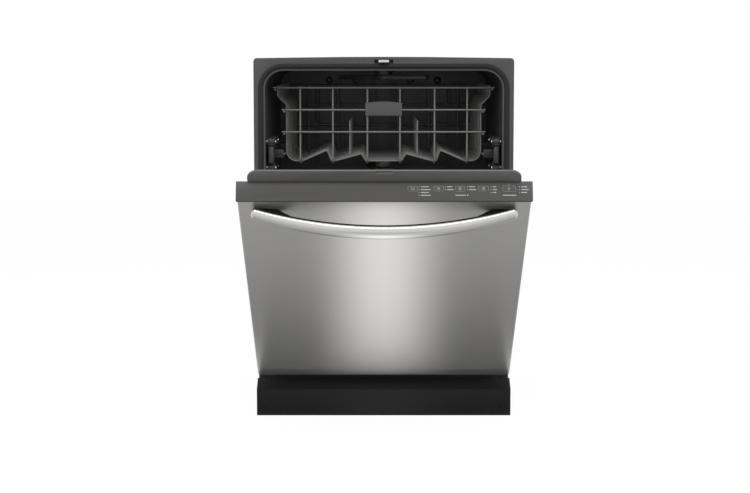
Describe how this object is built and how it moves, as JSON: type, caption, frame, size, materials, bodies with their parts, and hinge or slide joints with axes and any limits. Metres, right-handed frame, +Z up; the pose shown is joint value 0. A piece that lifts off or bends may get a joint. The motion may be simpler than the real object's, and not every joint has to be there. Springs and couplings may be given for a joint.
{
  "type": "built-in dishwasher",
  "caption": "Built-in dishwasher with a steel door part open, sloping control console, arched handle, sliding wire racks and spray arms.",
  "frame": {"origin": "on the floor, under the middle of the toe kick's lower edge", "axes": "+X to the right seen from the front, +Y to the back, +Z up"},
  "size_m": [0.602, 1.068, 0.844],
  "materials": {
    "tub_plastic": "satin grey",
    "seal_rubber": "matte",
    "black_plastic": "matte",
    "galvanised": "dull zinc",
    "toe_paint": "satin",
    "screw_steel": "bright",
    "bright_steel": "bright",
    "filter_steel": "satin",
    "white_plastic": "satin",
    "heater_sheath": "oxidised",
    "spring_steel": "bright",
    "arm_plastic": "satin",
    "roller_plastic": "satin",
    "rack_coating": "satin nylon",
    "badge_plastic": "satin",
    "door_steel": "brushed",
    "console_plastic": "satin",
    "board_green": "coated",
    "handle_steel": "satin",
    "key_plastic": "satin"
  },
  "bodies": {
    "cabinet": {"tub": "tub_plastic", "tub_seal": "seal_rubber", "latch_housing": "black_plastic", "base_frame": "galvanised", "base_pan": "black_plastic", "toe_kick": "toe_paint", "toe_kick_screws": "screw_steel", "hinge_brackets": "galvanised", "hinge_pins": "bright_steel", "sump": "black_plastic", "filter_plate": "filter_steel", "wash_pump_motor": "black_plastic", "drain_pump": "black_plastic", "inlet_valve": "white_plastic", "junction_box": "galvanised", "heating_element": "heater_sheath", "feed_tube": "tub_plastic", "roller_pins": "bright_steel", "door_springs": "spring_steel", "countertop_brackets": "galvanised", "leveling_legs": "screw_steel"},
    "door": {"door_panel": "door_steel", "door_liner": "tub_plastic", "console": "console_plastic", "control_board": "board_green", "handle": "handle_steel", "hinge_arms": "galvanised", "dispenser": "console_plastic", "door_keeper": "black_plastic", "door_sill_seal": "seal_rubber", "door_screws": "screw_steel"},
    "upper_rack_body": {"upper_rack": "rack_coating", "rack_badge": "badge_plastic", "upper_rails": "bright_steel", "rail_caps": "roller_plastic", "rail_brackets": "roller_plastic", "mid_spray_feed": "arm_plastic"},
    "lower_rack_body": {"lower_rack": "rack_coating", "lower_wheel_brackets": "roller_plastic"},
    "latch_hook": {"latch_hook": "bright_steel"},
    "filter_cylinder": {"filter_cylinder": "white_plastic"},
    "float_body": {"float": "tub_plastic"},
    "lower_spray_arm": {"lower_spray_arm": "arm_plastic"},
    "top_spray_arm": {"top_spray_arm": "arm_plastic"},
    "mid_spray_arm": {"mid_spray_arm": "arm_plastic"},
    "roller_front_upper": {"roller_front_upper": "roller_plastic"},
    "roller_front_lower": {"roller_front_lower": "roller_plastic"},
    "roller_rear_upper": {"roller_rear_upper": "roller_plastic"},
    "roller_rear_lower": {"roller_rear_lower": "roller_plastic"},
    "lower_front_wheels": {"lower_front_wheels": "roller_plastic"},
    "lower_rear_wheels": {"lower_rear_wheels": "roller_plastic"},
    "cutlery_basket": {"cutlery_basket": "tub_plastic"},
    "dispenser_lid": {"dispenser_lid": "tub_plastic"},
    "rinse_cap": {"rinse_cap": "black_plastic"},
    "key_cycle": {"key_cycle": "key_plastic"},
    "key_heat": {"key_heat": "key_plastic"},
    "key_dry": {"key_dry": "key_plastic"},
    "key_delay": {"key_delay": "key_plastic"},
    "key_start": {"key_start": "key_plastic"}
  },
  "joints": [
    {"name": "door_hinge", "type": "hinge", "parent": "cabinet", "child": "door", "pos_m": [0, -0.015, 0.2], "axis": [1, 0, 0], "range_deg": [-48, 42], "deforming": ["door_springs"]},
    {"name": "upper_rack_slide", "type": "slide", "parent": "cabinet", "child": "upper_rack_body", "axis": [0, -1, 0], "range_m": [0, 0.32]},
    {"name": "lower_rack_slide", "type": "slide", "parent": "cabinet", "child": "lower_rack_body", "axis": [0, -1, 0], "range_m": [0, 0.06]},
    {"name": "top_spray_arm_spin", "type": "hinge", "parent": "cabinet", "child": "top_spray_arm", "pos_m": [0, 0.28, 0.795], "axis": [0, 0, 1], "continuous": true},
    {"name": "lower_spray_arm_spin", "type": "hinge", "parent": "cabinet", "child": "lower_spray_arm", "pos_m": [0, 0.28, 0.217], "axis": [0, 0, 1], "continuous": true},
    {"name": "mid_spray_arm_spin", "type": "hinge", "parent": "upper_rack_body", "child": "mid_spray_arm", "pos_m": [0, 0.28, 0.565], "axis": [0, 0, 1], "continuous": true},
    {"name": "roller_front_upper_spin", "type": "hinge", "parent": "cabinet", "child": "roller_front_upper", "pos_m": [0, 0.014, 0.6468], "axis": [1, 0, 0], "range_deg": [-1690, 0]},
    {"name": "roller_front_lower_spin", "type": "hinge", "parent": "cabinet", "child": "roller_front_lower", "pos_m": [0, 0.014, 0.5862], "axis": [1, 0, 0], "range_deg": [0, 1690]},
    {"name": "roller_rear_upper_spin", "type": "hinge", "parent": "cabinet", "child": "roller_rear_upper", "pos_m": [0, 0.104, 0.6468], "axis": [1, 0, 0], "range_deg": [-1690, 0]},
    {"name": "roller_rear_lower_spin", "type": "hinge", "parent": "cabinet", "child": "roller_rear_lower", "pos_m": [0, 0.104, 0.5862], "axis": [1, 0, 0], "range_deg": [0, 1690]},
    {"name": "lower_front_wheels_spin", "type": "hinge", "parent": "lower_rack_body", "child": "lower_front_wheels", "pos_m": [0, 0.11, 0.2133], "axis": [1, 0, 0], "range_deg": [0, 215]},
    {"name": "lower_rear_wheels_spin", "type": "hinge", "parent": "lower_rack_body", "child": "lower_rear_wheels", "pos_m": [0, 0.43, 0.2133], "axis": [1, 0, 0], "range_deg": [0, 215]},
    {"name": "cutlery_basket_lift", "type": "slide", "parent": "lower_rack_body", "child": "cutlery_basket", "axis": [0, 0, 1], "range_m": [0, 0.12]},
    {"name": "float_lift", "type": "slide", "parent": "cabinet", "child": "float_body", "axis": [0, 0, 1], "range_m": [0, 0.01]},
    {"name": "filter_twist", "type": "hinge", "parent": "cabinet", "child": "filter_cylinder", "pos_m": [0.05, 0.28, 0.2], "axis": [0, 0, 1], "range_deg": [0, 90]},
    {"name": "latch_hook_swing", "type": "hinge", "parent": "cabinet", "child": "latch_hook", "pos_m": [0, 0.01, 0.8332], "axis": [1, 0, 0], "range_deg": [0, 3], "stiffness_Nm_per_rad": 1, "springref_deg": -2.86},
    {"name": "dispenser_lid_hinge", "type": "hinge", "parent": "door", "child": "dispenser_lid", "pos_m": [0, -0.29467, 0.45505], "axis": [1, 0, 0], "range_deg": [0, 110]},
    {"name": "rinse_cap_turn", "type": "hinge", "parent": "door", "child": "rinse_cap", "pos_m": [0.075, -0.26057, 0.42044], "axis": [0, 0.6691, 0.7431], "range_deg": [0, 90]},
    {"name": "key_cycle_press", "type": "slide", "parent": "door", "child": "key_cycle", "axis": [0, 0.9538, -0.3006], "range_m": [0, 0.0008], "stiffness_N_per_m": 900, "springref_m": -0.001},
    {"name": "key_heat_press", "type": "slide", "parent": "door", "child": "key_heat", "axis": [0, 0.9538, -0.3006], "range_m": [0, 0.0008], "stiffness_N_per_m": 900, "springref_m": -0.001},
    {"name": "key_dry_press", "type": "slide", "parent": "door", "child": "key_dry", "axis": [0, 0.9538, -0.3006], "range_m": [0, 0.0008], "stiffness_N_per_m": 900, "springref_m": -0.001},
    {"name": "key_delay_press", "type": "slide", "parent": "door", "child": "key_delay", "axis": [0, 0.9538, -0.3006], "range_m": [0, 0.0008], "stiffness_N_per_m": 900, "springref_m": -0.001},
    {"name": "key_start_press", "type": "slide", "parent": "door", "child": "key_start", "axis": [0, 0.9538, -0.3006], "range_m": [0, 0.0008], "stiffness_N_per_m": 900, "springref_m": -0.001}
  ],
  "couplings": [
    {"joint": "roller_front_upper_spin", "follows": "upper_rack_slide", "rad_per_m": -90.909},
    {"joint": "roller_front_lower_spin", "follows": "upper_rack_slide", "rad_per_m": 90.909},
    {"joint": "roller_rear_upper_spin", "follows": "upper_rack_slide", "rad_per_m": -90.909},
    {"joint": "roller_rear_lower_spin", "follows": "upper_rack_slide", "rad_per_m": 90.909},
    {"joint": "lower_front_wheels_spin", "follows": "lower_rack_slide", "rad_per_m": 58.824},
    {"joint": "lower_rear_wheels_spin", "follows": "lower_rack_slide", "rad_per_m": 58.824}
  ]
}
